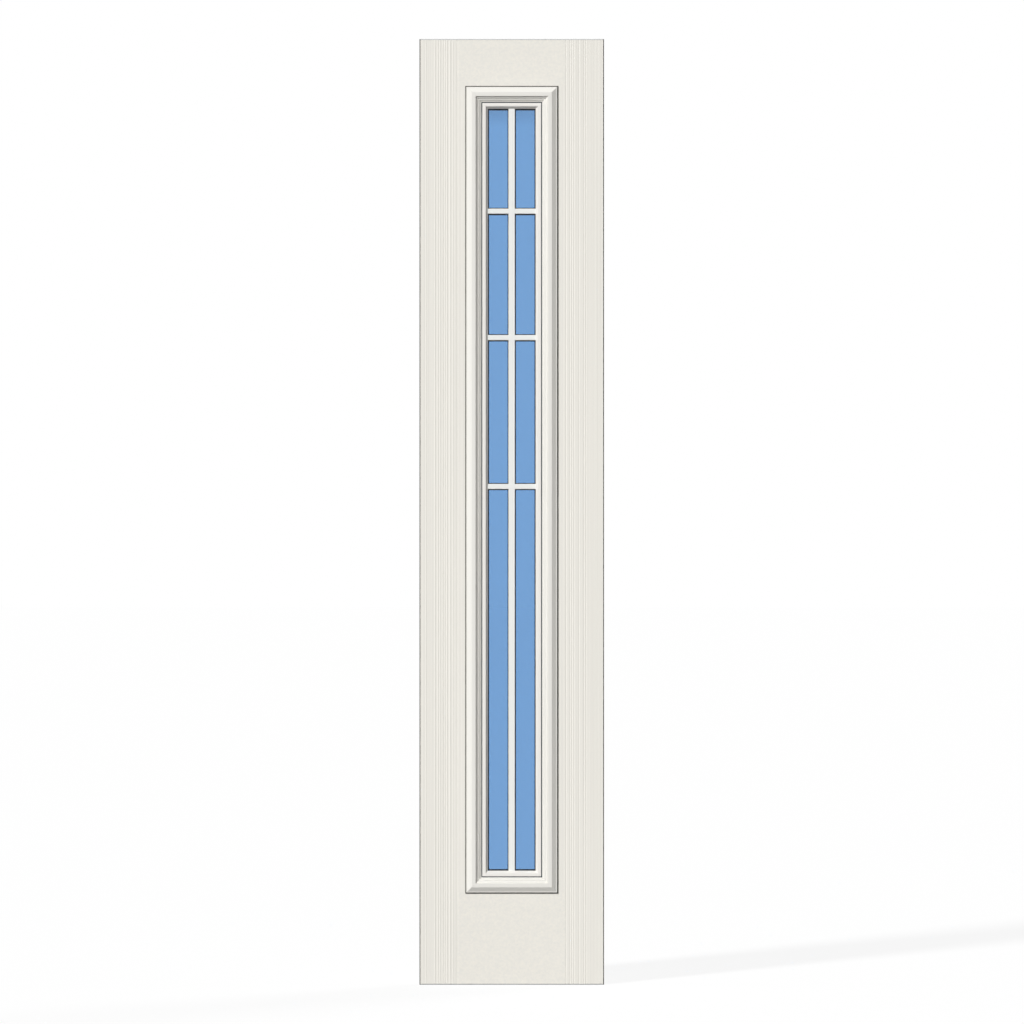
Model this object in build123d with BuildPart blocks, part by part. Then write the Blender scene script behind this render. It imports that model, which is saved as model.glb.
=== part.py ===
from build123d import *

import os

# Sidelight door slab with one tall, narrow glazed panel.
#
# The slab is a foam core between two compression-moulded skins, edged with lumber stiles and
# composite rails. A sealed glass unit is held in its cut-out by a mitred frame on each face,
# with a glazing bead round the glass and glazing bars laid on both panes.
#
# Millimetres. X runs across the slab, Y through it and Z up. The outside face looks along -Y.
# The origin is on the slab's foot, in the middle of its width and of its thickness.

os.makedirs("parts", exist_ok=True)

# Slab
slab_width = 394.0
slab_height = 2019.0
slab_thickness = 44.5
skin_thickness = 2.0
skin_edge_chamfer = 1.6
stile_width = 25.0
top_rail_height = 38.0
bottom_rail_height = 50.0

# Glass line: the edge of the glass that shows between the beads, and its distance from the slab's ends
glass_line_width = 102.0
glass_line_bottom = 243.0
glass_line_head = 148.5

# Sealed glass unit
pane_thickness = 3.0
unit_thickness = 19.0
unit_bite = 14.0
spacer_setback = 2.5
spacer_width = 7.0
tape_thickness = 1.2
tape_show = 2.4
tape_reach = 11.0

# Glazing bead, from the glass line outwards
bead_width = 11.8
bead_lip = 1.8
bead_lip_clearance = 0.2
bead_slope_width = 4.4
bead_step = 1.5
bead_rise = 1.2
bead_edge_chamfer = 0.6
bead_reveal = 0.5
flange_thickness = 5.0

# Frame moulding, from the bead outwards
shadow_gap = 2.0
moulding_foot = 1.2
moulding_foot_width = 1.4
moulding_foot_rise = 1.0
reed_count = 2
reed_width = 3.8
reed_rise = 2.8
reed_crown = 0.4
reed_step = 0.4
quirk_width = 1.0
quirk_depth = 0.6
land_rise = 2.8
land_width = 8.9
splay_width = 9.4
fillet_width = 1.0
edge_round = 1.0
lip_edge = 1.6

# Frame back: the web that passes through the cut-out, and the seal under the lip
unit_gap = 3.0
web_thickness = 8.0
cutout_clearance = 4.0
seal_thickness = 1.5
seal_width = 8.0
seal_show = 2.0

# Glazing bars on each pane
bar_height = 6.5
upright_bar_width = 14.0
cross_bar_width = 11.2
bar_shoulder = 1.6
bar_tape_show = 2.0
upper_bar_drop = 219.0
middle_bar_drop = 489.0
lower_bar_drop = 807.0

# Grid between the panes, behind the bars
grid_clearance = 1.5

# Grain lines of the stiles, each by its distance in from the slab's edge and its width.
# Ridges stand on the left stile and grooves are sunk in the right one.
grain_depth = 0.45
left_ridges = [
    (13.9, 2.6), (33.1, 2.0), (39.5, 2.0), (43.8, 2.8), (50.2, 1.4), (54.5, 1.4), (58.7, 2.4),
    (65.5, 2.8), (71.9, 2.0),
]
right_grooves = [
    (38.4, 2.0), (42.7, 2.0), (53.4, 3.0), (64.0, 2.2), (68.3, 2.0), (72.6, 2.4),
]
seam_inset = 81.0
seam_width = 3.0

# Levels, measured out from the slab's middle
face_level = slab_thickness / 2
core_level = face_level - skin_thickness
lip_level = face_level + seal_thickness
glass_level = unit_thickness / 2
tape_level = glass_level + tape_thickness
flange_level = tape_level + flange_thickness
bar_level = tape_level + bar_height
bead_wall_level = bar_level + bead_reveal
bead_level = face_level + bead_rise
foot_level = face_level + moulding_foot
reed_level = foot_level + moulding_foot_rise
land_level = reed_level + reed_count * (reed_step + reed_rise) + land_rise
edge_level = lip_level + lip_edge
fillet_level = edge_level + edge_round

# Reaches, measured out from the glass line
gap_reach = bead_width + shadow_gap
reed_reach = gap_reach + moulding_foot_width
land_foot_reach = reed_reach + reed_count * (quirk_width + reed_width) + quirk_width
land_reach = land_foot_reach + land_width
splay_reach = land_reach + splay_width
round_reach = splay_reach + fillet_width
frame_reach = round_reach + edge_round
web_reach = unit_bite + unit_gap
cutout_reach = web_reach + web_thickness + cutout_clearance
spacer_reach = spacer_setback + spacer_width

# Places
glass_line_top = slab_height - glass_line_head
glass_line_height = glass_line_top - glass_line_bottom
glass_middle = glass_line_bottom + glass_line_height / 2
stile_middle = (slab_width - stile_width) / 2
core_width = slab_width - 2 * stile_width
core_height = slab_height - top_rail_height - bottom_rail_height
faces = {"outside": -1, "inside": 1}
sides = {
    "right": (Vector(1, 0, 0), glass_line_width / 2, glass_line_height / 2),
    "left": (Vector(-1, 0, 0), glass_line_width / 2, glass_line_height / 2),
    "top": (Vector(0, 0, 1), glass_line_height / 2, glass_line_width / 2),
    "bottom": (Vector(0, 0, -1), glass_line_height / 2, glass_line_width / 2),
}
bar_heights = {
    "upper": glass_line_top - upper_bar_drop,
    "middle": glass_line_top - middle_bar_drop,
    "lower": glass_line_top - lower_bar_drop,
}


def save(part, name):
    """Labels a finished piece and writes it under its node's name."""
    part.label = name
    export_step(part, f"parts/{name}.step")


def face_plane(level, facing):
    """Plane of the glazed opening's middle, this far from the slab's middle, looking out of one face."""
    return Plane(origin=(0, facing * level, glass_middle), x_dir=(-facing, 0, 0), z_dir=(0, facing, 0))


def ring(inner_reach, outer_reach, low_level, high_level, facing, name):
    """Flat rectangular ring round the glass line, between two reaches and two levels."""
    with BuildPart() as piece:
        with BuildSketch(face_plane(low_level, facing)):
            Rectangle(glass_line_width + 2 * outer_reach, glass_line_height + 2 * outer_reach)
            Rectangle(
                glass_line_width + 2 * inner_reach,
                glass_line_height + 2 * inner_reach,
                mode=Mode.SUBTRACT,
            )
        extrude(amount=high_level - low_level)
    save(piece.part, name)
    return piece.part


def cutout_sketch():
    """Outline of the frame's cut-out, in front of the slab and facing out through it."""
    with BuildSketch(face_plane(slab_thickness, -1)) as cutout:
        Rectangle(glass_line_width + 2 * cutout_reach, glass_line_height + 2 * cutout_reach)
    return cutout.sketch


def grain_steps(facing):
    """Corners of the skin's face from left to right: ridges, seams and grooves in their order."""
    edge = slab_width / 2
    marks = [(-edge + place, width, grain_depth) for place, width in left_ridges]
    marks += [(edge - place, width, -grain_depth) for place, width in right_grooves]
    marks += [(-edge + seam_inset, seam_width, -grain_depth), (edge - seam_inset, seam_width, -grain_depth)]
    corners = []
    for middle, width, height in sorted(marks):
        corners.append((middle - width / 2, facing * face_level))
        corners.append((middle, facing * (face_level + height)))
        corners.append((middle + width / 2, facing * face_level))
    return corners


def end_chamfer(end, outward, facing):
    """Plane that takes the skin's edge off along one end of the slab."""
    return Plane(origin=(0, facing * (face_level - skin_edge_chamfer), end), z_dir=(0, facing, outward))


def skin(facing, name):
    """Moulded skin of one face, with the grain lines along its stiles and the frame's cut-out."""
    edge = slab_width / 2
    chamfer_level = face_level - skin_edge_chamfer
    with BuildPart() as piece:
        with BuildSketch(Plane.XY):
            with BuildLine():
                Polyline(
                    (-edge, facing * core_level),
                    (-edge, facing * chamfer_level),
                    (-edge + skin_edge_chamfer, facing * face_level),
                    *grain_steps(facing),
                    (edge - skin_edge_chamfer, facing * face_level),
                    (edge, facing * chamfer_level),
                    (edge, facing * core_level),
                    close=True,
                )
            make_face()
        extrude(amount=slab_height)
        for end, outward in ((0, -1), (slab_height, 1)):
            split(bisect_by=end_chamfer(end, outward, facing), keep=Keep.BOTTOM)
        extrude(cutout_sketch(), amount=-2 * slab_thickness, mode=Mode.SUBTRACT)
    save(piece.part, name)


def slab_block(middle, width, foot, height, name):
    """Straight member of the slab's edge frame, between the two skins."""
    with BuildPart() as piece:
        with BuildSketch(Plane.XY.offset(foot)):
            with Locations((middle, 0)):
                Rectangle(width, 2 * core_level)
        extrude(amount=height)
    save(piece.part, name)


def frame_section(plane):
    """Section of the frame moulding: flange, web and lip, and a face of reeds, land and splay."""
    round_top = (round_reach, fillet_level)
    round_foot = (frame_reach, edge_level)
    last_reed = (reed_reach, reed_level)
    with BuildSketch(plane) as section:
        with BuildLine():
            Line((gap_reach, foot_level), last_reed)
            for reed in range(reed_count):
                reed_foot = (last_reed[0] + quirk_width, last_reed[1] + reed_step)
                reed_top = (reed_foot[0] + reed_width, reed_foot[1] + reed_rise)
                Polyline(
                    last_reed,
                    (last_reed[0], last_reed[1] - quirk_depth),
                    (reed_foot[0], last_reed[1] - quirk_depth),
                    reed_foot,
                )
                SagittaArc(reed_foot, reed_top, reed_crown)
                last_reed = reed_top
            Polyline(
                last_reed,
                (last_reed[0], last_reed[1] - quirk_depth),
                (land_foot_reach, last_reed[1] - quirk_depth),
                (land_foot_reach, land_level),
                (land_reach, land_level),
                (splay_reach, fillet_level),
                round_top,
            )
            TangentArc(round_top, round_foot, tangent=(1, 0))
            Polyline(
                round_foot,
                (frame_reach, lip_level),
                (web_reach + web_thickness, lip_level),
                (web_reach + web_thickness, 0),
                (web_reach, 0),
                (web_reach, tape_level),
                (bead_lip + bead_lip_clearance, tape_level),
                (bead_lip + bead_lip_clearance, flange_level),
                (gap_reach, flange_level),
                (gap_reach, foot_level),
            )
        make_face()
    return section.sketch


def bead_section(plane):
    """Section of the glazing bead: a lip down to the tape, a slope, a step and a flat face."""
    with BuildSketch(plane) as section:
        with BuildLine():
            Polyline(
                (0, tape_level),
                (0, bead_wall_level),
                (bead_slope_width, bead_level - bead_step),
                (bead_slope_width, bead_level),
                (bead_width - bead_edge_chamfer, bead_level),
                (bead_width, bead_level - bead_edge_chamfer),
                (bead_width, flange_level),
                (bead_lip, flange_level),
                (bead_lip, tape_level),
                close=True,
            )
        make_face()
    return section.sketch


def bar_section(plane, width):
    """Section of a glazing bar: flat foot on the tape, straight sides and rounded shoulders."""
    with BuildSketch(plane) as section:
        with Locations((0, tape_level)):
            Rectangle(width, bar_height, align=(Align.CENTER, Align.MIN))
        fillet(section.vertices().group_by(Axis.Y)[-1], bar_shoulder)
    return section.sketch


def mitred_piece(section, reach, side, facing, name):
    """One side of a mitred surround: its section run along the glass line and cut at 45 degrees."""
    outward, to_line, half_span = sides[side]
    middle = Vector(0, 0, glass_middle) + outward * to_line
    run = outward.cross(Vector(0, facing, 0))
    with BuildPart() as piece:
        extrude(
            section(Plane(origin=middle, x_dir=outward, z_dir=run)), amount=half_span + reach, both=True
        )
        for end in (run, -run):
            split(bisect_by=Plane(origin=middle + end * half_span, z_dir=end - outward), keep=Keep.BOTTOM)
    save(piece.part, name)


def upright_bar(facing, name):
    """Upright glazing bar, from the bottom bead to the top one."""
    foot = Plane(origin=(0, 0, glass_line_bottom), x_dir=(facing, 0, 0), z_dir=(0, 0, 1))
    with BuildPart() as piece:
        extrude(bar_section(foot, upright_bar_width), amount=glass_line_height)
    save(piece.part, name)
    return piece.part


def cross_bars(facing, height, upright, name):
    """Pair of cross bars at one height, coped to the upright bar between them."""
    end = Plane(origin=(-glass_line_width / 2, 0, height), x_dir=(0, 0, -facing), z_dir=(1, 0, 0))
    with BuildPart() as piece:
        extrude(bar_section(end, cross_bar_width), amount=glass_line_width)
        add(upright, mode=Mode.SUBTRACT)
    save(piece.part, name)


def lattice(low_level, high_level, facing, side_show, end_reach, name):
    """Crossed flat strips behind the glazing bars, wider than them by side_show on each side."""
    with BuildPart() as piece:
        with BuildSketch(face_plane(low_level, facing)):
            Rectangle(upright_bar_width + 2 * side_show, glass_line_height + 2 * end_reach)
            for height in bar_heights.values():
                with Locations((0, height - glass_middle)):
                    Rectangle(glass_line_width + 2 * end_reach, cross_bar_width + 2 * side_show)
        extrude(amount=high_level - low_level)
    save(piece.part, name)


def glazing_tape(facing, name):
    """Tape bonded to one pane: a ring under the beads, joined by strips under the bars."""
    with BuildPart() as piece:
        with BuildSketch(face_plane(glass_level, facing)):
            Rectangle(glass_line_width + 2 * tape_reach, glass_line_height + 2 * tape_reach)
            Rectangle(
                glass_line_width - 2 * tape_show,
                glass_line_height - 2 * tape_show,
                mode=Mode.SUBTRACT,
            )
            Rectangle(upright_bar_width + 2 * bar_tape_show, glass_line_height)
            for height in bar_heights.values():
                with Locations((0, height - glass_middle)):
                    Rectangle(glass_line_width, cross_bar_width + 2 * bar_tape_show)
        extrude(amount=tape_thickness)
    save(piece.part, name)


def pane(facing, name):
    """One pane of the sealed unit."""
    with BuildPart() as piece:
        with BuildSketch(face_plane(glass_level - pane_thickness, facing)):
            Rectangle(glass_line_width + 2 * unit_bite, glass_line_height + 2 * unit_bite)
        extrude(amount=pane_thickness)
    save(piece.part, name)


# Slab
slab_block(-stile_middle, stile_width, 0, slab_height, "left_stile")
slab_block(stile_middle, stile_width, 0, slab_height, "right_stile")
slab_block(0, core_width, slab_height - top_rail_height, top_rail_height, "top_rail")
slab_block(0, core_width, 0, bottom_rail_height, "bottom_rail")

with BuildPart() as foam_core:
    with BuildSketch(Plane.XY.offset(bottom_rail_height)):
        Rectangle(core_width, 2 * core_level)
    extrude(amount=core_height)
    extrude(cutout_sketch(), amount=-2 * slab_thickness, mode=Mode.SUBTRACT)
save(foam_core.part, "foam_core")

# Sealed glass unit
cavity_level = glass_level - pane_thickness
ring(spacer_setback, spacer_reach, -cavity_level, cavity_level, 1, "spacer_bar")
ring(spacer_reach, unit_bite, -cavity_level, cavity_level, 1, "unit_edge_sealant")
lattice(
    grid_clearance - cavity_level,
    cavity_level - grid_clearance,
    1,
    0,
    spacer_setback,
    "grid_between_panes",
)

# Skins, frames, beads and bars of both faces
for face, facing in faces.items():
    skin(facing, f"{face}_skin")
    pane(facing, f"{face}_pane")
    glazing_tape(facing, f"{face}_glazing_tape")
    ring(frame_reach - seal_width, frame_reach + seal_show, face_level, lip_level, facing, f"{face}_frame_seal")
    for side in sides:
        mitred_piece(frame_section, frame_reach, side, facing, f"{face}_frame_{side}")
        mitred_piece(bead_section, bead_width, side, facing, f"{face}_bead_{side}")
    upright = upright_bar(facing, f"{face}_upright_bar")
    for row, height in bar_heights.items():
        cross_bars(facing, height, upright, f"{face}_{row}_cross_bars")
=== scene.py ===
import math
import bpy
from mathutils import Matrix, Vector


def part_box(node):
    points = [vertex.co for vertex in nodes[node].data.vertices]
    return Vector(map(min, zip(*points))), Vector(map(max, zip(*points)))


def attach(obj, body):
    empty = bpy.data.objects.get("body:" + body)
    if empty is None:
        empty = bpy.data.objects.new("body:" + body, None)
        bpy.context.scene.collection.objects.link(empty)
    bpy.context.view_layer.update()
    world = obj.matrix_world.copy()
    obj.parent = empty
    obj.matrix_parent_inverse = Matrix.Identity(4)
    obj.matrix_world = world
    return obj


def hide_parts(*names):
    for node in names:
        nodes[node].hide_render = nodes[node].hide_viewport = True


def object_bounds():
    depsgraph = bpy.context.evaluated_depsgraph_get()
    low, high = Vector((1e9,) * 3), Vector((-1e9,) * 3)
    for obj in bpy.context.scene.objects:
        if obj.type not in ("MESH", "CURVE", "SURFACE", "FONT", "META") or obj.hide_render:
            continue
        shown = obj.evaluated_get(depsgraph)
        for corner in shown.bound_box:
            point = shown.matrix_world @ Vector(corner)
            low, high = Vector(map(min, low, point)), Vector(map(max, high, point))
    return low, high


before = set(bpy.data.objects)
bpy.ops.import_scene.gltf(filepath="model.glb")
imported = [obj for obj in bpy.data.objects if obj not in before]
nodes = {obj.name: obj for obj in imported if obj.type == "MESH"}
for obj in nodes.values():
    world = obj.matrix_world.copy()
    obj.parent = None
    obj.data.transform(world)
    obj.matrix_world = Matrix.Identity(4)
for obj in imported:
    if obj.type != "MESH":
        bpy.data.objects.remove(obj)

from types import SimpleNamespace

import bmesh
import bpy
import numpy as np
from bpy.props import FloatProperty, FloatVectorProperty, IntProperty, PointerProperty
from mathutils import Vector

bl_info = {
    "name": "Sidelight Door Slab",
    "version": (1, 0, 0),
    "blender": (4, 5, 0),
    "location": "View3D > Sidebar > Sidelight",
    "description": "Finishes a sidelight door slab: embossed skins, mitred mouldings, glazing and stage",
    "category": "Object",
}

cad_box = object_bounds()

MM = 0.001
FACES = {"outside": -1, "inside": 1}
WHITE = (1.0, 1.0, 1.0, 1.0)

# Sockets of a Mix node, whose names repeat: its two numbers, its two colours and the mixed colour
NUMBER_A, NUMBER_B, COLOUR_A, COLOUR_B = 2, 3, 6, 7
MIXED_COLOUR = 2

# Glass line: the edge of the glass that shows between the beads
glass_half_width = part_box("outside_bead_right")[0].x
glass_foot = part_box("outside_bead_bottom")[1].z
glass_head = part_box("outside_bead_top")[0].z
glass_middle = (glass_foot + glass_head) / 2
glass_half_height = (glass_head - glass_foot) / 2

# Each side of the glass line: outward direction, distance from the middle, run, half the run's length
SIDES = {
    "right": (Vector((1, 0, 0)), glass_half_width, Vector((0, 0, 1)), glass_half_height),
    "left": (Vector((-1, 0, 0)), glass_half_width, Vector((0, 0, 1)), glass_half_height),
    "top": (Vector((0, 0, 1)), glass_half_height, Vector((1, 0, 0)), glass_half_width),
    "bottom": (Vector((0, 0, -1)), glass_half_height, Vector((1, 0, 0)), glass_half_width),
}


def linear(hex_colour):
    """Linear red, green and blue of an sRGB hex value."""
    channels = [int(hex_colour[start:start + 2], 16) / 255 for start in (0, 2, 4)]
    return tuple(c / 12.92 if c <= 0.04045 else ((c + 0.055) / 1.055) ** 2.4 for c in channels)


def rgba(colour, share=1.0):
    """Colour with an alpha of 1, made lighter or darker by a share."""
    return (*[channel * share for channel in colour], 1.0)


class SlabSkinSettings(bpy.types.PropertyGroup):
    """Paint and embossed grain of the slab's skins."""

    paint: FloatVectorProperty(
        name="Paint", description="Satin paint of the skins", subtype="COLOR", default=linear("EBE8E0")
    )
    raw_edge: FloatVectorProperty(
        name="Trimmed edge",
        description="Bare compound on the trimmed long edges of the skins",
        subtype="COLOR",
        default=linear("4E4B46"),
    )
    end_edge: FloatVectorProperty(
        name="Sealed ends",
        description="Sealer on the skins' edges at the slab's top and foot",
        subtype="COLOR",
        default=linear("BEBFBE"),
    )
    seam_inset: FloatProperty(
        name="Seam inset",
        description="Distance from a long edge to the seam between stile and rails",
        default=81 * MM,
        unit="LENGTH",
    )
    column_pitch: FloatProperty(
        name="Column pitch",
        description="Spacing of the grain across a stile",
        default=1.0 * MM,
        unit="LENGTH",
    )
    row_pitch: FloatProperty(
        name="Row pitch", description="Spacing of the grain up a rail", default=1.5 * MM, unit="LENGTH"
    )
    stile_grain: FloatProperty(
        name="Stile grain",
        description="Depth of the stiles' broad grain",
        default=0.2 * MM,
        unit="LENGTH",
    )
    rail_grain: FloatProperty(
        name="Rail grain", description="Depth of the rails' grain", default=0.09 * MM, unit="LENGTH"
    )
    grain_seed: IntProperty(name="Grain seed", description="Start of the random grain", default=7)


class MouldingSettings(bpy.types.PropertyGroup):
    """Plastic mouldings round the glass."""

    frame_colour: FloatVectorProperty(
        name="Frame", description="Moulded frame", subtype="COLOR", default=linear("E9E7E1")
    )
    bead_colour: FloatVectorProperty(
        name="Bead", description="Glazing bead", subtype="COLOR", default=linear("ECE9E4")
    )
    bar_colour: FloatVectorProperty(
        name="Bars", description="Glazing bars", subtype="COLOR", default=linear("EEEFEC")
    )
    arris: FloatProperty(
        name="Arris", description="Radius on the mouldings' sharp edges", default=0.35 * MM, unit="LENGTH"
    )
    mitre_groove: FloatProperty(
        name="Mitre groove",
        description="Depth of the fine groove along a mitre",
        default=0.15 * MM,
        unit="LENGTH",
    )
    plug_colour: FloatVectorProperty(
        name="Plugs", description="Screw plugs", subtype="COLOR", default=linear("F3F3F0")
    )
    plug_radius: FloatProperty(
        name="Plug radius",
        description="Radius of the inside frame's screw plugs",
        default=3.6 * MM,
        unit="LENGTH",
    )
    plug_rise: FloatProperty(
        name="Plug rise",
        description="Height of a plug above the frame's land",
        default=1.2 * MM,
        unit="LENGTH",
    )
    plugs_a_side: IntProperty(
        name="Plugs a side",
        description="Screw plugs along each long side of the inside frame",
        default=8,
    )


class GlazingSettings(bpy.types.PropertyGroup):
    """Sealed glass unit and what seals it."""

    glass_tint: FloatVectorProperty(
        name="Glass tint", description="Tint of one pane", subtype="COLOR", default=linear("A6C8E7")
    )
    tape_colour: FloatVectorProperty(
        name="Glazing tape", description="Butyl tape", subtype="COLOR", default=linear("0E1822")
    )
    gap_colour: FloatVectorProperty(
        name="Gap sealant",
        description="Sealant between frame and bead",
        subtype="COLOR",
        default=linear("3A4652"),
    )
    gap_depth: FloatProperty(
        name="Gap depth",
        description="Depth of the sealant below the bead's face",
        default=2.4 * MM,
        unit="LENGTH",
    )
    seal_colour: FloatVectorProperty(
        name="Frame seal",
        description="Foam seal under the frame's lip",
        subtype="COLOR",
        default=linear("3A3832"),
    )


class StageSettings(bpy.types.PropertyGroup):
    """Camera, lights and floor."""

    field: FloatProperty(
        name="Field",
        description="Width that the picture covers at the slab's face",
        default=2.186,
        unit="LENGTH",
    )
    lens: FloatProperty(name="Lens", description="Focal length in millimetres", default=250.0)
    camera_offset: FloatProperty(
        name="Camera offset",
        description="Camera's place right of the slab's middle",
        default=0.5 * MM,
        unit="LENGTH",
    )
    camera_height: FloatProperty(
        name="Camera height",
        description="Camera's height above the floor",
        default=1.0092,
        unit="LENGTH",
    )
    key_strength: FloatProperty(
        name="Key", description="Strength of the key light", default=3.2
    )
    back_strength: FloatProperty(
        name="Back", description="Strength of the light on the back", default=2.6
    )
    fill_strength: FloatProperty(
        name="Fill", description="Strength of the light from all round", default=0.2
    )


def add(tree, kind, inputs=None, **settings):
    """Adds a node. Each input is a value, an output socket, or a node whose first output is taken."""
    node = tree.nodes.new(kind)
    for name, value in settings.items():
        setattr(node, name, value)
    for name, value in (inputs or {}).items():
        if isinstance(value, bpy.types.Node):
            value = value.outputs[0]
        if isinstance(value, bpy.types.NodeSocket):
            tree.links.new(value, node.inputs[name])
        else:
            node.inputs[name].default_value = value
    return node


def blank_material(name):
    """New material with an empty node tree."""
    material = bpy.data.materials.new(name)
    material.use_nodes = True
    material.node_tree.nodes.clear()
    return material, material.node_tree


def surfaced(tree, inputs):
    """Ends a material's tree with its shader, set or linked as given."""
    shader = add(tree, "ShaderNodeBsdfPrincipled", inputs)
    add(tree, "ShaderNodeOutputMaterial", {"Surface": shader})


def patches(tree, size, detail=2.0):
    """Random patches from 0 to 1 that measure this much along X, Y and Z, in metres."""
    place = add(tree, "ShaderNodeTexCoord").outputs["Object"]
    scaled = add(tree, "ShaderNodeMapping", {"Vector": place, "Scale": [1 / length for length in size]})
    return add(tree, "ShaderNodeTexNoise", {"Vector": scaled, "Scale": 1.0, "Detail": detail})


def skin_areas(tree, settings):
    """Masks over a skin: 1 on its upright grain, on its sealed ends and on its trimmed long edges."""
    low, high = cad_box
    half_width, half_height = high.x, (high.z - low.z) / 2
    frame_foot, frame_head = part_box("outside_frame_bottom")[0].z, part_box("outside_frame_top")[1].z
    frame_middle, frame_half = (frame_foot + frame_head) / 2, (frame_head - frame_foot) / 2
    seam = half_width - settings.seam_inset
    edge = 2.0 * MM

    place = add(tree, "ShaderNodeTexCoord").outputs["Object"]
    axes = add(tree, "ShaderNodeSeparateXYZ", {"Vector": place}).outputs
    across = add(tree, "ShaderNodeMath", {0: axes["X"]}, operation="ABSOLUTE")
    from_middle = add(tree, "ShaderNodeMath", {0: axes["Z"], 1: half_height}, operation="SUBTRACT")
    up = add(tree, "ShaderNodeMath", {0: from_middle}, operation="ABSOLUTE")
    on_stile = add(tree, "ShaderNodeMath", {0: across, 1: seam}, operation="GREATER_THAN")
    beside_frame = add(
        tree, "ShaderNodeMath", {0: axes["Z"], 1: frame_middle, 2: frame_half}, operation="COMPARE"
    )
    upright = add(tree, "ShaderNodeMath", {0: on_stile, 1: beside_frame}, operation="MAXIMUM")
    on_end = add(tree, "ShaderNodeMath", {0: up, 1: half_height - edge}, operation="GREATER_THAN")
    on_side = add(tree, "ShaderNodeMath", {0: across, 1: half_width - edge}, operation="GREATER_THAN")
    return upright, on_end, on_side


def painted_fibreglass(settings):
    """Fibreglass moulding compound, pressed in an embossed tool and sprayed with satin acrylic paint.

    The eye sees a warm off-white that is a little cloudy, a soft sheen that the fine grain breaks up,
    and the grey compound where the long edges were trimmed.
    """
    material, tree = blank_material("fibreglass_pressed_and_painted")
    upright, on_end, on_side = skin_areas(tree, settings)

    # Upright grain on the stiles and beside the frame, level grain on the rails. Real pores are 0.2 mm
    # wide, too fine to show here, so they are drawn 0.7 mm wide.
    pore, pore_length = 0.7 * MM, 60 * MM
    along_stile = patches(tree, (pore, pore, pore_length))
    along_rail = patches(tree, (pore_length, pore, pore))
    grain = add(tree, "ShaderNodeMix", {"Factor": upright, NUMBER_A: along_rail, NUMBER_B: along_stile})

    # Faint streaks in the paint along the upright grain, and small cool and warm clouds on the rails
    streaks = patches(tree, (2.2 * MM, 2.2 * MM, 900 * MM), detail=1.0)
    clouds = patches(tree, (5 * MM, 5 * MM, 5 * MM), detail=4.0)
    paint = settings.paint
    red, green, blue = paint
    cool = (0.92 * red, 0.935 * green, 0.955 * blue, 1.0)
    warm = (1.1 * red, 1.085 * green, 1.06 * blue, 1.0)
    cloudy = add(
        tree,
        "ShaderNodeMix",
        {"Factor": clouds, COLOUR_A: cool, COLOUR_B: warm},
        data_type="RGBA",
    ).outputs[MIXED_COLOUR]
    streaky = add(
        tree,
        "ShaderNodeMix",
        {"Factor": streaks, COLOUR_A: rgba(paint, 0.925), COLOUR_B: rgba(paint, 1.075)},
        data_type="RGBA",
    ).outputs[MIXED_COLOUR]
    painted = add(
        tree,
        "ShaderNodeMix",
        {"Factor": upright, COLOUR_A: cloudy, COLOUR_B: streaky},
        data_type="RGBA",
    ).outputs[MIXED_COLOUR]
    sealed = add(
        tree,
        "ShaderNodeMix",
        {"Factor": on_end, COLOUR_A: painted, COLOUR_B: rgba(settings.end_edge)},
        data_type="RGBA",
    ).outputs[MIXED_COLOUR]
    colour = add(
        tree,
        "ShaderNodeMix",
        {"Factor": on_side, COLOUR_A: sealed, COLOUR_B: rgba(settings.raw_edge)},
        data_type="RGBA",
    ).outputs[MIXED_COLOUR]
    sheen = add(tree, "ShaderNodeMapRange", {"Value": clouds, "To Min": 0.4, "To Max": 0.52})
    bump = add(tree, "ShaderNodeBump", {"Height": grain, "Strength": 1.0, "Distance": 0.04 * MM})
    surfaced(tree, {"Base Color": colour, "Roughness": sheen, "Normal": bump, "IOR": 1.48})
    return material


def painted_lumber(settings):
    """Laminated veneer lumber, planed and painted to match the skins.

    The eye sees thin straight plies through the paint, which lies a little dry on the wood.
    """
    material, tree = blank_material("laminated_lumber_planed_and_painted")
    fibre = patches(tree, (0.8 * MM, 0.8 * MM, 70 * MM), detail=3.0)
    plies = patches(tree, (400 * MM, 3.2 * MM, 400 * MM), detail=0.0)
    both = add(tree, "ShaderNodeMix", {"Factor": 0.6, NUMBER_A: fibre, NUMBER_B: plies})
    colour = add(
        tree,
        "ShaderNodeMix",
        {"Factor": both, COLOUR_A: rgba(settings.paint, 0.88), COLOUR_B: rgba(settings.paint, 1.0)},
        data_type="RGBA",
    ).outputs[MIXED_COLOUR]
    gloss = add(tree, "ShaderNodeMapRange", {"Value": fibre, "To Min": 0.45, "To Max": 0.62})
    bump = add(tree, "ShaderNodeBump", {"Height": both, "Strength": 1.0, "Distance": 0.12 * MM})
    surfaced(tree, {"Base Color": colour, "Roughness": gloss, "Normal": bump, "IOR": 1.48})
    return material


def painted_composite(settings):
    """Wood-fibre composite, extruded, sawn to length and painted.

    The eye sees a dull off-white with fine saw marks across it.
    """
    material, tree = blank_material("fibre_composite_sawn_and_painted")
    saw_marks = patches(tree, (1.1 * MM, 60 * MM, 60 * MM), detail=1.0)
    specks = patches(tree, (2 * MM, 2 * MM, 2 * MM), detail=4.0)
    colour = add(
        tree,
        "ShaderNodeMix",
        {"Factor": specks, COLOUR_A: rgba(settings.paint, 0.86), COLOUR_B: rgba(settings.paint, 0.98)},
        data_type="RGBA",
    ).outputs[MIXED_COLOUR]
    bump = add(tree, "ShaderNodeBump", {"Height": saw_marks, "Strength": 1.0, "Distance": 0.15 * MM})
    surfaced(tree, {"Base Color": colour, "Roughness": 0.62, "Normal": bump, "IOR": 1.48})
    return material


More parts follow.
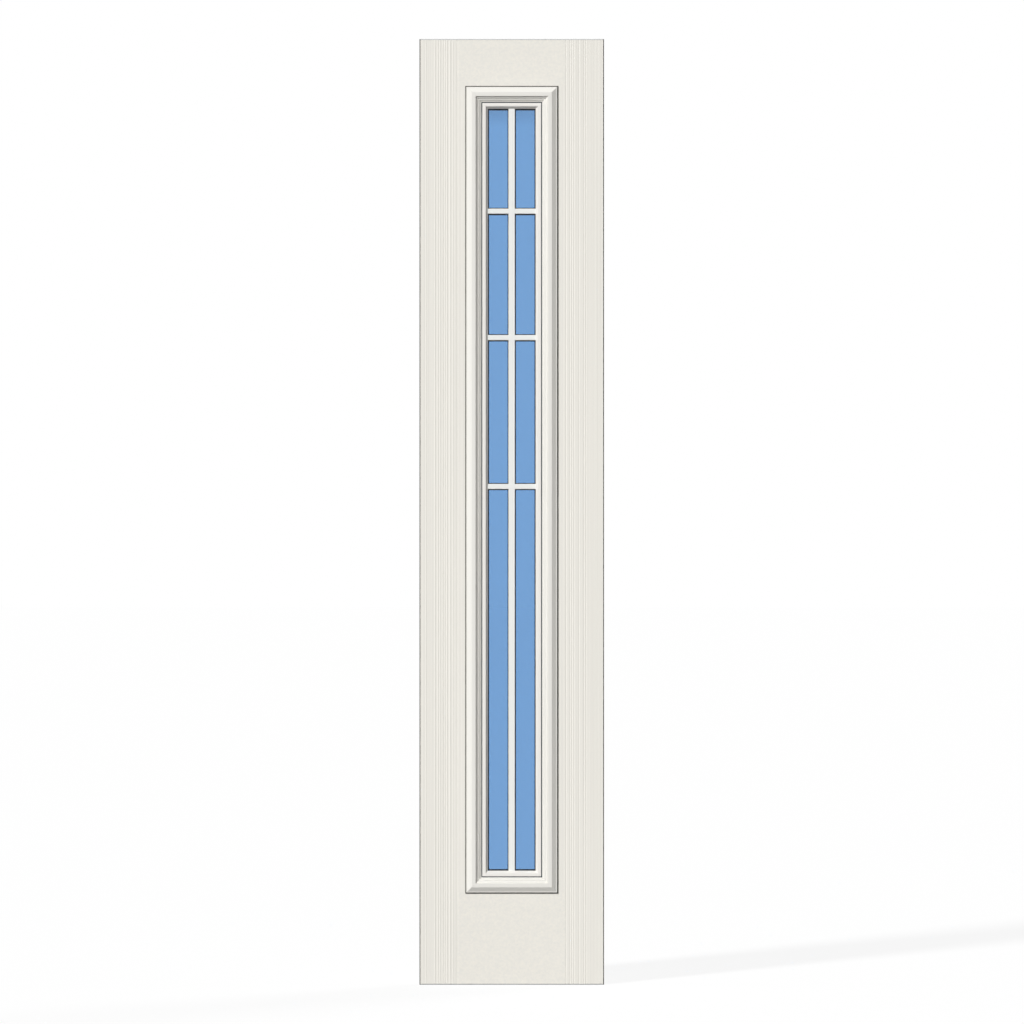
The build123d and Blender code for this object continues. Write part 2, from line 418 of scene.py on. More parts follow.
def poured_foam():
    """Polyurethane foam, poured between the skins. The eye sees straw-coloured cells at an open edge."""
    material, tree = blank_material("polyurethane_foam_poured")
    place = add(tree, "ShaderNodeTexCoord").outputs["Object"]
    cell = 0.8 * MM
    cells = add(tree, "ShaderNodeTexVoronoi", {"Vector": place, "Scale": 1 / cell})
    straw = linear("E8DCB4")
    colour = add(
        tree,
        "ShaderNodeMix",
        {"Factor": cells, COLOUR_A: rgba(straw, 0.75), COLOUR_B: rgba(straw)},
        data_type="RGBA",
    ).outputs[MIXED_COLOUR]
    bump = add(tree, "ShaderNodeBump", {"Height": cells, "Strength": 1.0, "Distance": 0.2 * MM})
    surfaced(tree, {"Base Color": colour, "Roughness": 0.9, "Normal": bump, "IOR": 1.5})
    return material


def moulded_plastic(name, colour, along, roughness):
    """Polypropylene, moulded with a fine grain along the member and left as it comes from the tool.

    The eye sees an even satin off-white with faint streaks along each member.
    """
    material, tree = blank_material(name)
    fine, long = 1.6 * MM, 700 * MM
    streaks = patches(tree, [long if axis == along else fine for axis in "XYZ"], detail=1.0)
    tooling = patches(tree, (0.9 * MM, 0.9 * MM, 0.9 * MM), detail=1.0)
    streaked = add(
        tree,
        "ShaderNodeMix",
        {"Factor": streaks, COLOUR_A: rgba(colour, 0.95), COLOUR_B: rgba(colour, 1.04)},
        data_type="RGBA",
    ).outputs[MIXED_COLOUR]
    gloss = add(
        tree,
        "ShaderNodeMapRange",
        {"Value": streaks, "To Min": roughness - 0.05, "To Max": roughness + 0.06},
    )
    bump = add(tree, "ShaderNodeBump", {"Height": tooling, "Strength": 1.0, "Distance": 0.012 * MM})
    surfaced(tree, {"Base Color": streaked, "Roughness": gloss, "Normal": bump, "IOR": 1.49})
    return material


def foam_seal(settings):
    """Closed-cell foam, extruded as a strip. The eye sees a dull dark grey-brown with fine cells."""
    material, tree = blank_material("closed_cell_foam_extruded")
    cells = patches(tree, (0.5 * MM, 0.5 * MM, 0.5 * MM), detail=3.0)
    seal = settings.seal_colour
    colour = add(
        tree,
        "ShaderNodeMix",
        {"Factor": cells, COLOUR_A: rgba(seal, 0.7), COLOUR_B: rgba(seal, 1.3)},
        data_type="RGBA",
    ).outputs[MIXED_COLOUR]
    bump = add(tree, "ShaderNodeBump", {"Height": cells, "Strength": 1.0, "Distance": 0.1 * MM})
    surfaced(tree, {"Base Color": colour, "Roughness": 0.85, "Normal": bump, "IOR": 1.5})
    return material


def butyl_tape(name, rubber):
    """Butyl rubber, extruded and pressed flat. The eye sees a dark blue-grey with a soft sheen."""
    material, tree = blank_material(name)
    smears = patches(tree, (3 * MM, 3 * MM, 3 * MM), detail=2.0)
    colour = add(
        tree,
        "ShaderNodeMix",
        {"Factor": smears, COLOUR_A: rgba(rubber, 0.8), COLOUR_B: rgba(rubber, 1.25)},
        data_type="RGBA",
    ).outputs[MIXED_COLOUR]
    gloss = add(tree, "ShaderNodeMapRange", {"Value": smears, "To Min": 0.45, "To Max": 0.7})
    bump = add(tree, "ShaderNodeBump", {"Height": smears, "Strength": 1.0, "Distance": 0.05 * MM})
    surfaced(tree, {"Base Color": colour, "Roughness": gloss, "Normal": bump, "IOR": 1.52})
    return material


def rolled_aluminium():
    """Aluminium strip, roll-formed with rows of vent slits. The eye sees grey metal with drawn lines."""
    material, tree = blank_material("aluminium_roll_formed")
    drawn = patches(tree, (0.4 * MM, 0.4 * MM, 0.4 * MM), detail=1.0)
    metal = linear("CFD2D6")
    colour = add(
        tree,
        "ShaderNodeMix",
        {"Factor": drawn, COLOUR_A: rgba(metal, 0.85), COLOUR_B: rgba(metal)},
        data_type="RGBA",
    ).outputs[MIXED_COLOUR]
    place = add(tree, "ShaderNodeTexCoord").outputs["Object"]
    slit_pitch = 3 * MM
    slits = add(
        tree, "ShaderNodeTexVoronoi", {"Vector": place, "Scale": 1 / slit_pitch, "Randomness": 0.0}
    )
    bump = add(tree, "ShaderNodeBump", {"Height": slits, "Strength": 1.0, "Distance": 0.15 * MM})
    surfaced(tree, {"Base Color": colour, "Metallic": 1.0, "Roughness": 0.38, "Normal": bump})
    return material


def enamelled_aluminium():
    """Aluminium strip, roll-formed and stove-enamelled. The eye sees a smooth glossy off-white."""
    material, tree = blank_material("aluminium_roll_formed_and_enamelled")
    flow = patches(tree, (12 * MM, 12 * MM, 12 * MM))
    enamel = linear("E9E9E4")
    colour = add(
        tree,
        "ShaderNodeMix",
        {"Factor": flow, COLOUR_A: rgba(enamel, 0.97), COLOUR_B: rgba(enamel)},
        data_type="RGBA",
    ).outputs[MIXED_COLOUR]
    bump = add(tree, "ShaderNodeBump", {"Height": flow, "Strength": 1.0, "Distance": 0.02 * MM})
    surfaced(tree, {"Base Color": colour, "Roughness": 0.28, "Normal": bump, "IOR": 1.5})
    return material


def float_glass(settings):
    """Soda-lime glass, floated and body-tinted.

    The eye sees a clear even blue with plain reflections, with a painted shade that darkens it under the
    head of the unit.
    """
    material, tree = blank_material("soda_lime_glass_floated_and_tinted")
    drift = patches(tree, (220 * MM, 220 * MM, 500 * MM), detail=1.0)
    tint = settings.glass_tint
    even = add(
        tree,
        "ShaderNodeMix",
        {"Factor": drift, COLOUR_A: rgba(tint, 0.985), COLOUR_B: rgba(tint, 1.015)},
        data_type="RGBA",
    ).outputs[MIXED_COLOUR]
    place = add(tree, "ShaderNodeTexCoord").outputs["Object"]
    height = add(tree, "ShaderNodeSeparateXYZ", {"Vector": place}).outputs["Z"]
    # Painted shade: the tint darkens through a band below the glass head, standing in for the shade that
    # the head casts on the unit
    painted_shade_band = 38 * MM
    painted_shade_near_head = add(
        tree,
        "ShaderNodeMapRange",
        {"Value": height, "From Min": glass_head - painted_shade_band, "From Max": glass_head},
    )
    colour = add(
        tree,
        "ShaderNodeMix",
        {"Factor": painted_shade_near_head, COLOUR_A: even, COLOUR_B: rgba(tint, 0.9)},
        data_type="RGBA",
    ).outputs[MIXED_COLOUR]
    surfaced(tree, {"Base Color": colour, "Transmission Weight": 1.0, "Roughness": 0.0, "IOR": 1.52})
    return material


def finish_node(node, material):
    """Puts a material on a CAD node."""
    piece = nodes[node]
    piece.data.materials.clear()
    piece.data.materials.append(material)


def finish_faces(name, material):
    """Puts a material on a CAD node of each face."""
    for face in FACES:
        finish_node(f"{face}_{name}", material)


def new_piece(name, points, faces, material, stands_for=()):
    """Makes a piece from points and faces, rides it on the root body and hides the CAD nodes it stands
    for.
    """
    sharp_angle = math.radians(30)
    mesh = bpy.data.meshes.new(name)
    mesh.from_pydata(points, [], faces)
    work = bmesh.new()
    work.from_mesh(mesh)
    bmesh.ops.recalc_face_normals(work, faces=work.faces)
    work.to_mesh(mesh)
    work.free()
    mesh.polygons.foreach_set("use_smooth", [True] * len(mesh.polygons))
    mesh.set_sharp_from_angle(angle=sharp_angle)
    mesh.materials.append(material)
    piece = bpy.data.objects.new(name, mesh)
    bpy.context.scene.collection.objects.link(piece)
    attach(piece, "root")
    if stands_for:
        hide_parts(*stands_for)
    return piece


def member_section(node):
    """Section of a right-hand member: reach from the glass line, and level from mid-thickness."""
    weld, same_way = 0.001 * MM, 0.999
    work = bmesh.new()
    work.from_mesh(nodes[node].data)
    bmesh.ops.remove_doubles(work, verts=work.verts, dist=weld)
    bmesh.ops.recalc_face_normals(work, faces=work.faces)
    mitre = Vector((-1, 0, 1)).normalized()
    cap = {face for face in work.faces if face.normal.dot(mitre) > same_way}
    edges = {edge for face in cap for edge in face.edges if sum(f in cap for f in edge.link_faces) == 1}
    if not edges:
        raise RuntimeError(f"{node} has no mitred upper end")
    vertex = min(edges, key=lambda e: e.index).verts[0]
    outline = []
    while edges:
        outline.append((vertex.co.x - glass_half_width, abs(vertex.co.y)))
        edge = next(e for e in vertex.link_edges if e in edges)
        edges.remove(edge)
        vertex = edge.other_vert(vertex)
    work.free()
    return outline


def eased(outline, radius):
    """Outline with an arc in each corner, apart from the gentle turns of a curve."""
    gentle_turn = math.radians(25)
    longest_share = 0.45
    steps = 3
    points = [Vector(point) for point in outline]
    result = []
    for index, corner in enumerate(points):
        before = points[index - 1] - corner
        after = points[(index + 1) % len(points)] - corner
        turn = math.pi - before.angle(after)
        if turn < gentle_turn:
            result.append(corner)
            continue
        shorter = min(before.length, after.length)
        reach = min(radius * math.tan(turn / 2), longest_share * shorter)
        start, end = corner + before.normalized() * reach, corner + after.normalized() * reach
        for step in range(steps + 1):
            t = step / steps
            result.append(start * (1 - t) ** 2 + corner * (2 * t * (1 - t)) + end * t ** 2)
    return result


def inset(outline, distance):
    """Outline moved inwards by a small distance."""
    area = sum(a.x * b.y - b.x * a.y for a, b in zip(outline, outline[1:] + outline[:1])) / 2
    inward = 1 if area > 0 else -1
    moved = []
    for index, point in enumerate(outline):
        along = (outline[(index + 1) % len(outline)] - outline[index - 1]).normalized()
        moved.append(point + Vector((-along.y, along.x)) * (inward * distance))
    return moved


def mitred_member(name, outline, side, facing, groove, material):
    """Member of a mitred surround: its section run between two mitres, with a fine groove at each."""
    outward, to_line, run, half_run = SIDES[side]
    middle = Vector((0, 0, glass_middle))
    stations = [
        (-1, inset(outline, groove), 0.0),
        (-1, outline, groove),
        (1, outline, groove),
        (1, inset(outline, groove), 0.0),
    ]
    points, faces = [], []
    count = len(outline)
    for end, ring, pull_back in stations:
        for reach, level in ring:
            along = end * (half_run + reach - pull_back)
            point = middle + outward * (to_line + reach) + run * along
            points.append((point.x, facing * level, point.z))
    for station in range(len(stations) - 1):
        for index in range(count):
            after = (index + 1) % count
            low, high = station * count, (station + 1) * count
            faces.append((low + index, low + after, high + after, high + index))
    faces.append(tuple(range(count)))
    faces.append(tuple(range((len(stations) - 1) * count, len(stations) * count)))
    return new_piece(name + "_moulding", points, faces, material, [name])


def surround(name, outline, facing, material):
    """Unbroken ring round the glass, with this section."""
    points, faces = [], []
    count = len(outline)
    for right, upper in ((1, 1), (-1, 1), (-1, -1), (1, -1)):
        for reach, level in outline:
            across, up = right * (glass_half_width + reach), upper * (glass_half_height + reach)
            points.append((across, facing * level, glass_middle + up))
    for corner in range(4):
        here, there = corner * count, (corner + 1) % 4 * count
        for index in range(count):
            after = (index + 1) % count
            faces.append((here + index, here + after, there + after, there + index))
    return new_piece(name, points, faces, material)


def gap_sealant(face, facing, settings, material):
    """Sealant in the gap between frame and bead, tooled a little hollow."""
    lap, hollow = 0.1 * MM, 0.3 * MM
    bead = member_section(f"{face}_bead_right")
    frame_part = member_section(f"{face}_frame_right")
    inner = max(reach for reach, _ in bead)
    top = max(level for _, level in bead) - settings.gap_depth
    outer = min(reach for reach, level in frame_part if level > top)
    foot = max(level for reach, level in frame_part if reach < outer - lap)
    outline = [
        (inner - lap, foot - lap),
        (inner - lap, top),
        (inner + hollow, top - hollow),
        (outer - hollow, top - hollow),
        (outer + lap, top),
        (outer + lap, foot - lap),
    ]
    surround(f"{face}_gap_sealant", outline, facing, material)


def screw_plugs(settings, material):
    """Push-in caps over the screws that clamp the two frames, set in the inside frame's land."""
    tolerance = 0.01 * MM
    section = member_section("inside_frame_right")
    land = max(level for _, level in section)
    flat = [reach for reach, level in section if level > land - tolerance]
    reach = (min(flat) + max(flat)) / 2
    across = glass_half_width + reach
    from_corner = 90 * MM
    heights = np.linspace(glass_foot + from_corner, glass_head - from_corner, settings.plugs_a_side)
    places = [(side * across, height) for side in (-1, 1) for height in heights]
    places += [(0.0, glass_foot - reach), (0.0, glass_head + reach)]

    # Rings of a plug, from below the land to its crown: share of the radius, and level above the land
    radius, rise = settings.plug_radius, settings.plug_rise
    rings = [(1.0, -1.0 * MM), (1.0, 0.5 * rise), (0.93, 0.8 * rise), (0.75, rise), (0.3, 1.08 * rise)]
    steps = 32
    turns = [2 * math.pi * step / steps for step in range(steps)]
    points, faces = [], []
    for x, z in places:
        first = len(points)
        for share, level in rings:
            for turn in turns:
                right, up = share * radius * math.cos(turn), share * radius * math.sin(turn)
                points.append((x + right, land + level, z + up))
        last = len(points) - steps
        for here in range(first, last, steps):
            there = here + steps
            for step in range(steps):
                after = (step + 1) % steps
                faces.append((here + step, here + after, there + after, there + step))
        faces.append(tuple(range(first, first + steps)))
        faces.append(tuple(range(last, last + steps)))
    return new_piece("inside_screw_plugs", points, faces, material)


def micrometre(place):
    """Place rounded to a micrometre, so that it can be found again."""
    return round(float(place), 6)


def skin_profile(node):
    """Corners of a CAD skin's face across the slab, corners of its cut-out, and level of its back."""
    near_end = 5 * MM
    points = np.array([vertex.co for vertex in nodes[node].data.vertices])
    low, high = points.min(0), points.max(0)
    near_top = points[points[:, 2] > high[2] - near_end]
    levels = {}
    for x, y, _ in near_top:
        key = micrometre(x)
        levels[key] = max(levels.get(key, 0.0), abs(float(y)))
    inner = points[(points[:, 2] > low[2] + near_end) & (points[:, 2] < high[2] - near_end)]
    back = min(abs(float(y)) for y in points[:, 1])
    return sorted(levels.items()), inner.min(0), inner.max(0), back


def spread(start, end, pitch):
    """Places from start to end, evenly spaced at about this pitch."""
    return np.linspace(start, end, max(2, round((end - start) / pitch) + 1))


def merged(fixed, free, pitch):
    """Fixed places and those free ones that keep clear of them by a share of the pitch, in order."""
    clearance = 0.4 * pitch
    fixed = np.unique(np.round(fixed, 7))
    kept = [place for place in free if np.abs(fixed - place).min() > clearance]
    return np.unique(np.concatenate([fixed, kept]))


def smooth_noise(random, places, spacing):
    """Smooth random curve through these places, from -1 to 1."""
    low, high = places.min() - spacing, places.max() + spacing
    knots = np.arange(low, high + 2 * spacing, spacing)
    values = random.uniform(-1, 1, len(knots))
    position = (places - knots[0]) / spacing
    index = position.astype(int)
    t = position - index
    t = t * t * (3 - 2 * t)
    return values[index] * (1 - t) + values[index + 1] * t


def skin_plan(face, settings):
    """What an embossed skin is drawn from: the CAD skin's box, profile and cut-out, frame and seam."""
    profile, opening_low, opening_high, back = skin_profile(f"{face}_skin")
    low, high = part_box(f"{face}_skin")
    levels = np.array([level for _, level in profile])
    return SimpleNamespace(
        low=low,
        high=high,
        corner_x=np.array([x for x, _ in profile]),
        corner_level=levels,
        edge_level=levels[0],
        edge_width=float(np.median(levels)) - levels[0],
        opening_low=opening_low,
        opening_high=opening_high,
        back=back,
        frame_low=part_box(f"{face}_frame_bottom")[0],
        frame_high=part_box(f"{face}_frame_top")[1],
        seam=high.x - settings.seam_inset,
    )


def skin_grid(plan, settings):
    """Columns and rows of a skin's points: close where its grain shows, wide at and under the frame."""
    under_frame, beside_frame = 5 * MM, 26 * MM
    low, high, frame_low, frame_high = plan.low, plan.high, plan.frame_low, plan.frame_high
    opening_low, opening_high = plan.opening_low, plan.opening_high
    columns = merged(
        np.concatenate([plan.corner_x, [opening_low[0], opening_high[0]]]),
        np.concatenate([
            spread(low.x, frame_low.x, settings.column_pitch),
            spread(frame_low.x, frame_high.x, under_frame),
            spread(frame_high.x, high.x, settings.column_pitch),
        ]),
        settings.column_pitch,
    )
    foot, head = low.z + plan.edge_width, high.z - plan.edge_width
    rows = merged(
        np.array([low.z, foot, opening_low[2], opening_high[2], head, high.z]),
        np.concatenate([
            spread(foot, frame_low.z, settings.row_pitch),
            spread(frame_low.z, frame_high.z, beside_frame),
            spread(frame_high.z, head, settings.row_pitch),
        ]),
        settings.row_pitch,
    )
    return columns, rows


def skin_levels(plan, columns, rows, settings):
    """Level of a skin's points from mid-thickness, with the grain pressed in."""
    random = np.random.default_rng(settings.grain_seed)

    # Upright grain: broad and fine lines across a stile, which fade in and out up its length
    line_spacing, fade_spacing = 3.4 * MM, 260 * MM
    broad = smooth_noise(random, columns, line_spacing)
    fine = random.uniform(0, 1, len(columns)) ** 3
    across = -(0.5 + 0.5 * broad) - 0.35 * fine
    fade = 0.7 + 0.3 * smooth_noise(random, rows, fade_spacing)
    upright_relief = settings.stile_grain * across[None, :] * fade[:, None]

    # Level grain: ticks up a rail, which come and go along it, over slow waves
    wave_spacing, tick_spacing = 16 * MM, 45 * MM
    ticks = random.uniform(0, 1, len(rows)) ** 2
    waves = smooth_noise(random, rows, wave_spacing)
    along = 0.6 + 0.4 * smooth_noise(random, columns, tick_spacing)
    pattern = ticks[:, None] * along[None, :] + 0.8 * (1 + waves)[:, None]
    level_relief = -settings.rail_grain * pattern

    # The level grain begins beyond the frame and between the seams, and all grain ends before the edges
    frame_blend, edge_blend = 6 * MM, 2 * MM
    x, z = np.meshgrid(columns, rows)
    beyond_frame = np.maximum(plan.frame_low.z - z, z - plan.frame_high.z)
    off_frame = np.clip(beyond_frame / frame_blend, 0, 1)
    between_seams = np.clip((plan.seam - np.abs(x)) / settings.column_pitch, 0, 1)
    on_rail = off_frame * between_seams
    end_distance = np.minimum(z - plan.low.z, plan.high.z - z)
    edge_distance = np.minimum.reduce([x - plan.low.x, plan.high.x - x, end_distance])
    inside_edge = np.clip((edge_distance - plan.edge_width) / edge_blend, 0, 1)
    relief = (upright_relief * (1 - on_rail) + level_relief * on_rail) * inside_edge
    levels = np.interp(x, plan.corner_x, plan.corner_level) + relief
    return np.minimum(levels, plan.edge_level + np.clip(end_distance, 0, None))


def skin_faces(plan, columns, rows, points, facing):
    """Faces of a skin's front, of its rims and of its back round the cut-out. Adds the back's points."""
    width = len(columns)
    column_of = {micrometre(place): index for index, place in enumerate(columns)}
    row_of = {micrometre(place): index for index, place in enumerate(rows)}
    left, right = (column_of[micrometre(corner[0])] for corner in (plan.opening_low, plan.opening_high))
    foot, head = (row_of[micrometre(corner[2])] for corner in (plan.opening_low, plan.opening_high))
    last_column, last_row = len(columns) - 1, len(rows) - 1
    faces = []
    for row in range(last_row):
        for column in range(last_column):
            if foot <= row < head and left <= column < right:
                continue
            start = row * width + column
            faces.append((start, start + 1, start + width + 1, start + width))

    back = {}

    def behind(column, row):
        """Point on the skin's back behind a place of the rims."""
        if (column, row) not in back:
            back[column, row] = len(points)
            points.append((float(columns[column]), facing * plan.back, float(rows[row])))
        return back[column, row]

    def rim(first_column, end_column, first_row, end_row):
        """Places round a rectangle of the grid, in order."""
        return (
            [(column, first_row) for column in range(first_column, end_column)]
            + [(end_column, row) for row in range(first_row, end_row)]
            + [(column, end_row) for column in range(end_column, first_column, -1)]
            + [(first_column, row) for row in range(end_row, first_row, -1)]
        )

    for places in (rim(0, last_column, 0, last_row), rim(left, right, foot, head)):
        for (column, row), (next_column, next_row) in zip(places, places[1:] + places[:1]):
            faces.append((
                row * width + column,
                next_row * width + next_column,
                behind(next_column, next_row),
                behind(column, row),
            ))

    # The back in four parts: left and right of the cut-out, below it and above it
    left_part = (
        [(0, row) for row in range(last_row, -1, -1)]
        + [(column, 0) for column in range(1, left + 1)]
        + [(left, row) for row in range(foot, head + 1)]
        + [(column, last_row) for column in range(left, 0, -1)]
    )
    right_part = (
        [(last_column, row) for row in range(last_row + 1)]
        + [(column, last_row) for column in range(last_column - 1, right - 1, -1)]
        + [(right, row) for row in range(head, foot - 1, -1)]
        + [(column, 0) for column in range(right, last_column)]
    )
    lower_part = (
        [(column, 0) for column in range(left, right + 1)]
        + [(column, foot) for column in range(right, left - 1, -1)]
    )
    upper_part = (
        [(column, head) for column in range(left, right + 1)]
        + [(column, last_row) for column in range(right, left - 1, -1)]
    )
    for part in (left_part, right_part, lower_part, upper_part):
        faces.append(tuple(behind(*place) for place in part))
    return faces


def embossed_skin(face, facing, settings, material):
    """Skin with real relief: grain upright on the stiles and beside the frame, level on the rails."""
    plan = skin_plan(face, settings)
    columns, rows = skin_grid(plan, settings)
    x, z = np.meshgrid(columns, rows)
    levels = skin_levels(plan, columns, rows, settings)
    points = [(a, facing * b, c) for a, b, c in zip(x.ravel(), levels.ravel(), z.ravel())]
    faces = skin_faces(plan, columns, rows, points, facing)
    node = f"{face}_skin"
    return new_piece(f"{node}_embossed", points, faces, material, [node])


class SIDELIGHT_OT_skins(bpy.types.Operator):
    """Builds both embossed skins and finishes the slab's edges and core"""

    bl_idname = "sidelight.skins"
    bl_label = "Skins and Slab"

    def execute(self, context):
        settings = context.scene.sidelight_skin
        paint = painted_fibreglass(settings)
        for face, facing in FACES.items():
            embossed_skin(face, facing, settings, paint)
        lumber = painted_lumber(settings)
        composite = painted_composite(settings)
        for node in ("left_stile", "right_stile"):
            finish_node(node, lumber)
        for node in ("top_rail", "bottom_rail"):
            finish_node(node, composite)
        finish_node("foam_core", poured_foam())
        return {"FINISHED"}


class SIDELIGHT_OT_mouldings(bpy.types.Operator):
    """Builds the frames and beads with eased edges and mitre grooves"""

    bl_idname = "sidelight.mouldings"
    bl_label = "Frames and Beads"

    def execute(self, context):
        settings = context.scene.sidelight_moulding
        colours = {"frame": settings.frame_colour, "bead": settings.bead_colour}
        runs = {"right": "Z", "left": "Z", "top": "X", "bottom": "X"}
        for kind, colour in colours.items():
            plastics = {}
            for along in "XZ":
                name = f"polypropylene_moulded_{kind}_{along.lower()}"
                plastics[along] = moulded_plastic(name, colour, along, 0.4)
            for face, facing in FACES.items():
                outline = eased(member_section(f"{face}_{kind}_right"), settings.arris)
                for side, along in runs.items():
                    mitred_member(
                        f"{face}_{kind}_{side}",
                        outline,
                        side,
                        facing,
                        settings.mitre_groove,
                        plastics[along],
                    )
        return {"FINISHED"}


class SIDELIGHT_OT_bars(bpy.types.Operator):
    """Finishes the glazing bars and the grid between the panes"""

    bl_idname = "sidelight.bars"
    bl_label = "Glazing Bars"

    def execute(self, context):
        colour = context.scene.sidelight_moulding.bar_colour
        upright = moulded_plastic("polypropylene_moulded_bar_z", colour, "Z", 0.36)
        cross = moulded_plastic("polypropylene_moulded_bar_x", colour, "X", 0.36)
        finish_faces("upright_bar", upright)
        for row in ("upper", "middle", "lower"):
            finish_faces(f"{row}_cross_bars", cross)
        finish_node("grid_between_panes", enamelled_aluminium())
        return {"FINISHED"}


class SIDELIGHT_OT_plugs(bpy.types.Operator):
    """Sets the screw plugs in the inside frame"""

    bl_idname = "sidelight.plugs"
    bl_label = "Screw Plugs"

    def execute(self, context):
        settings = context.scene.sidelight_moulding
        plastic = moulded_plastic("polypropylene_moulded_plug", settings.plug_colour, "Z", 0.45)
        screw_plugs(settings, plastic)
        return {"FINISHED"}


class SIDELIGHT_OT_glazing(bpy.types.Operator):
    """Finishes the panes, spacer, tapes and seals, and fills the gaps beside the beads"""

    bl_idname = "sidelight.glazing"
    bl_label = "Glazing"

    def execute(self, context):
        settings = context.scene.sidelight_glazing
        tape = butyl_tape("butyl_extruded_and_pressed", settings.tape_colour)
        sealant = butyl_tape("butyl_run_in_and_tooled", settings.gap_colour)
        finish_faces("pane", float_glass(settings))
        finish_faces("glazing_tape", tape)
        finish_faces("frame_seal", foam_seal(settings))
        finish_node("unit_edge_sealant", tape)
        finish_node("spacer_bar", rolled_aluminium())
        for face, facing in FACES.items():
            gap_sealant(face, facing, settings, sealant)
        return {"FINISHED"}


class SIDELIGHT_OT_stage(bpy.types.Operator):
    """Adds the floor, the lights and the camera"""

    bl_idname = "sidelight.stage"
    bl_label = "Stage"

    def execute(self, context):
        settings = context.scene.sidelight_stage
        context.scene.view_settings.view_transform = "Standard"
        add_floor()
        add_world(settings)
        add_lights(settings)
        add_camera(settings)
        return {"FINISHED"}


def seen_directly(tree):
    """1 for what the eye sees, also in gloss and through glass, and 0 for light that bounces."""
    path = add(tree, "ShaderNodeLightPath").outputs
    glossy, through = path["Is Glossy Ray"], path["Is Transmission Ray"]
    gloss = add(tree, "ShaderNodeMath", {0: glossy, 1: through}, operation="MAXIMUM")
    return add(tree, "ShaderNodeMath", {0: path["Is Camera Ray"], 1: gloss}, operation="MAXIMUM")


def add_floor():
    """Big plain pale floor, which looks white and keeps the slab's shadow."""
    reach = 60.0
    mesh = bpy.data.meshes.new("floor")
    corners = [(-reach, -reach, 0), (reach, -reach, 0), (reach, reach, 0), (-reach, reach, 0)]
    mesh.from_pydata(corners, [], [(0, 1, 2, 3)])
    floor = bpy.data.objects.new("floor", mesh)
    bpy.context.scene.collection.objects.link(floor)
    material, tree = blank_material("pale_floor")

    # To the eye the floor is mostly glow, which makes it white, and a little paint, which keeps the shadow
    glow_share, paint_share = 0.86, 0.15
    bounced = add(tree, "ShaderNodeBsdfDiffuse", {"Color": rgba(linear("828282"))})
    shaded = add(tree, "ShaderNodeBsdfDiffuse", {"Color": rgba(WHITE[:3], paint_share)})
    glow = add(tree, "ShaderNodeEmission", {"Color": WHITE, "Strength": glow_share})
    seen = add(tree, "ShaderNodeAddShader", {0: shaded, 1: glow})
    both = add(tree, "ShaderNodeMixShader", {0: seen_directly(tree), 1: bounced, 2: seen})
    add(tree, "ShaderNodeOutputMaterial", {"Surface": both})
    mesh.materials.append(material)


def add_world(settings):
    """White surroundings to the eye, and a soft even fill to the surfaces."""
    world = bpy.data.worlds.new("studio")
    bpy.context.scene.world = world
    world.use_nodes = True
    tree = world.node_tree
    tree.nodes.clear()
    fill = add(tree, "ShaderNodeBackground", {"Color": WHITE, "Strength": settings.fill_strength})
    white = add(tree, "ShaderNodeBackground", {"Color": WHITE, "Strength": 1.0})
    both = add(tree, "ShaderNodeMixShader", {0: seen_directly(tree), 1: fill, 2: white})
    add(tree, "ShaderNodeOutputWorld", {"Surface": both})


def add_lights(settings):
    """Soft key from the upper left in front, and a weaker light on the back from the upper right."""
    distance, middle = 4.0, Vector((0, 0, 1))

    # Strength, direction towards the lamp, and the angle in degrees that it fills
    lights = {
        "key": (settings.key_strength, (-0.48, -0.735, 0.48), 6.0),
        "back": (settings.back_strength, (0.6, 0.76, 0.26), 25.0),
    }
    for name, (strength, towards, angle) in lights.items():
        data = bpy.data.lights.new(name, "SUN")
        data.energy = strength
        data.angle = math.radians(angle)
        lamp = bpy.data.objects.new(name, data)
        lamp.rotation_euler = Vector(towards).to_track_quat("Z", "Y").to_euler()
        lamp.location = Vector(towards) * distance + middle
        bpy.context.scene.collection.objects.link(lamp)


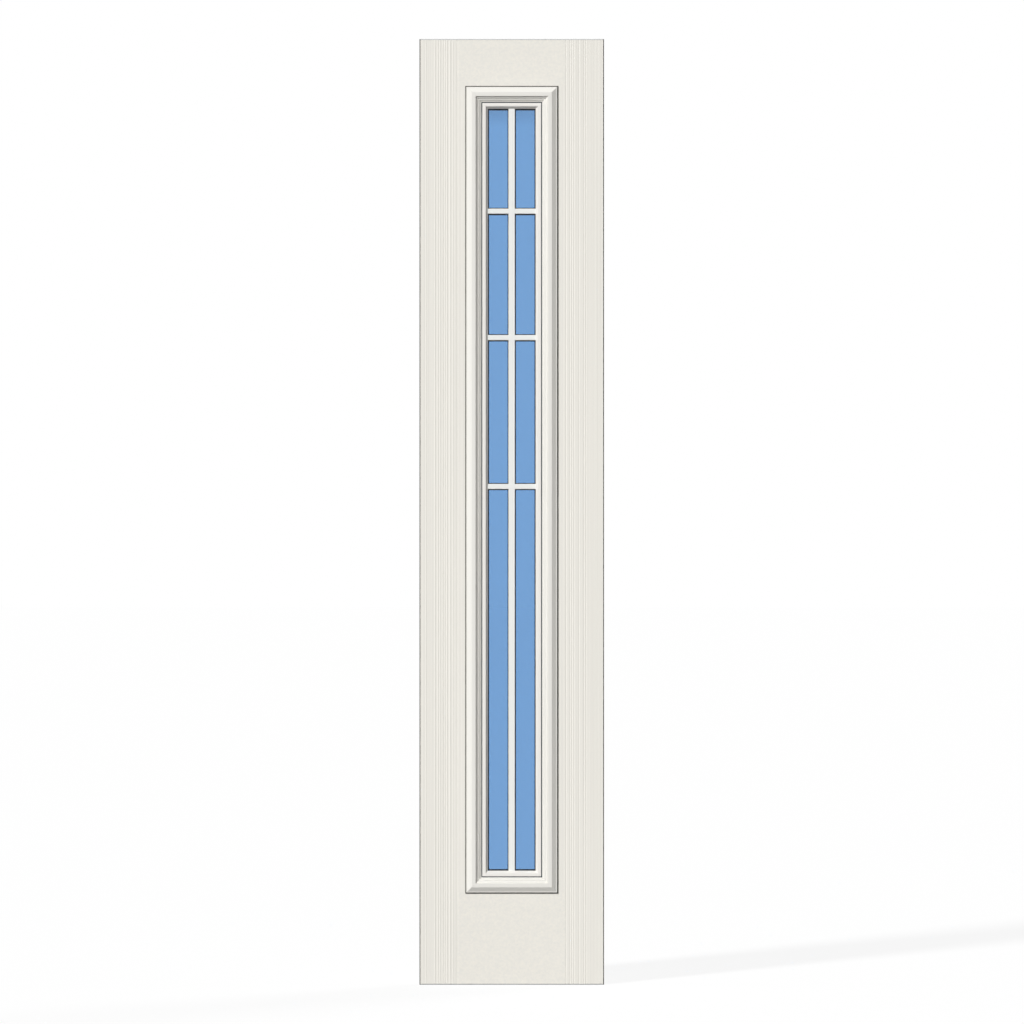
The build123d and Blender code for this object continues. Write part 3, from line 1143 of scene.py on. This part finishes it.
def add_camera(settings):
    """Long lens straight in front of the slab, at the height of the picture's middle."""
    data = bpy.data.cameras.new("camera")
    data.sensor_width = 36.0
    data.lens = settings.lens
    camera = bpy.data.objects.new("camera", data)
    distance = settings.field * settings.lens / data.sensor_width
    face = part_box("outside_skin")[0].y
    camera.location = (settings.camera_offset, face - distance, settings.camera_height)
    camera.rotation_euler = (math.radians(90), 0, 0)
    bpy.context.scene.collection.objects.link(camera)
    bpy.context.scene.camera = camera


class SIDELIGHT_PT_panel(bpy.types.Panel):
    """Settings and steps of the sidelight"""

    bl_idname = "SIDELIGHT_PT_panel"
    bl_label = "Sidelight"
    bl_space_type = "VIEW_3D"
    bl_region_type = "UI"
    bl_category = "Sidelight"

    def draw(self, context):
        for group, group_operators in steps.items():
            box = self.layout.box()
            settings = getattr(context.scene, group)
            for name in settings.__annotations__:
                box.prop(settings, name)
            for operator in group_operators:
                box.operator(operator.bl_idname)


groups = {
    "sidelight_skin": SlabSkinSettings,
    "sidelight_moulding": MouldingSettings,
    "sidelight_glazing": GlazingSettings,
    "sidelight_stage": StageSettings,
}
steps = {
    "sidelight_skin": [SIDELIGHT_OT_skins],
    "sidelight_moulding": [SIDELIGHT_OT_mouldings, SIDELIGHT_OT_bars, SIDELIGHT_OT_plugs],
    "sidelight_glazing": [SIDELIGHT_OT_glazing],
    "sidelight_stage": [SIDELIGHT_OT_stage],
}
operators = [operator for group in steps.values() for operator in group]
classes = [*groups.values(), *operators, SIDELIGHT_PT_panel]


def register():
    """Registers the classes and hangs the settings on the scene."""
    for cls in classes:
        bpy.utils.register_class(cls)
    for name, group in groups.items():
        setattr(bpy.types.Scene, name, PointerProperty(type=group))


def unregister():
    """Takes the settings and the classes away again."""
    for name in groups:
        delattr(bpy.types.Scene, name)
    for cls in reversed(classes):
        bpy.utils.unregister_class(cls)


def main():
    """Finishes the slab step by step."""
    register()
    bpy.ops.sidelight.skins()
    bpy.ops.sidelight.mouldings()
    bpy.ops.sidelight.bars()
    bpy.ops.sidelight.plugs()
    bpy.ops.sidelight.glazing()
    bpy.ops.sidelight.stage()


if __name__ == "__main__":
    main()
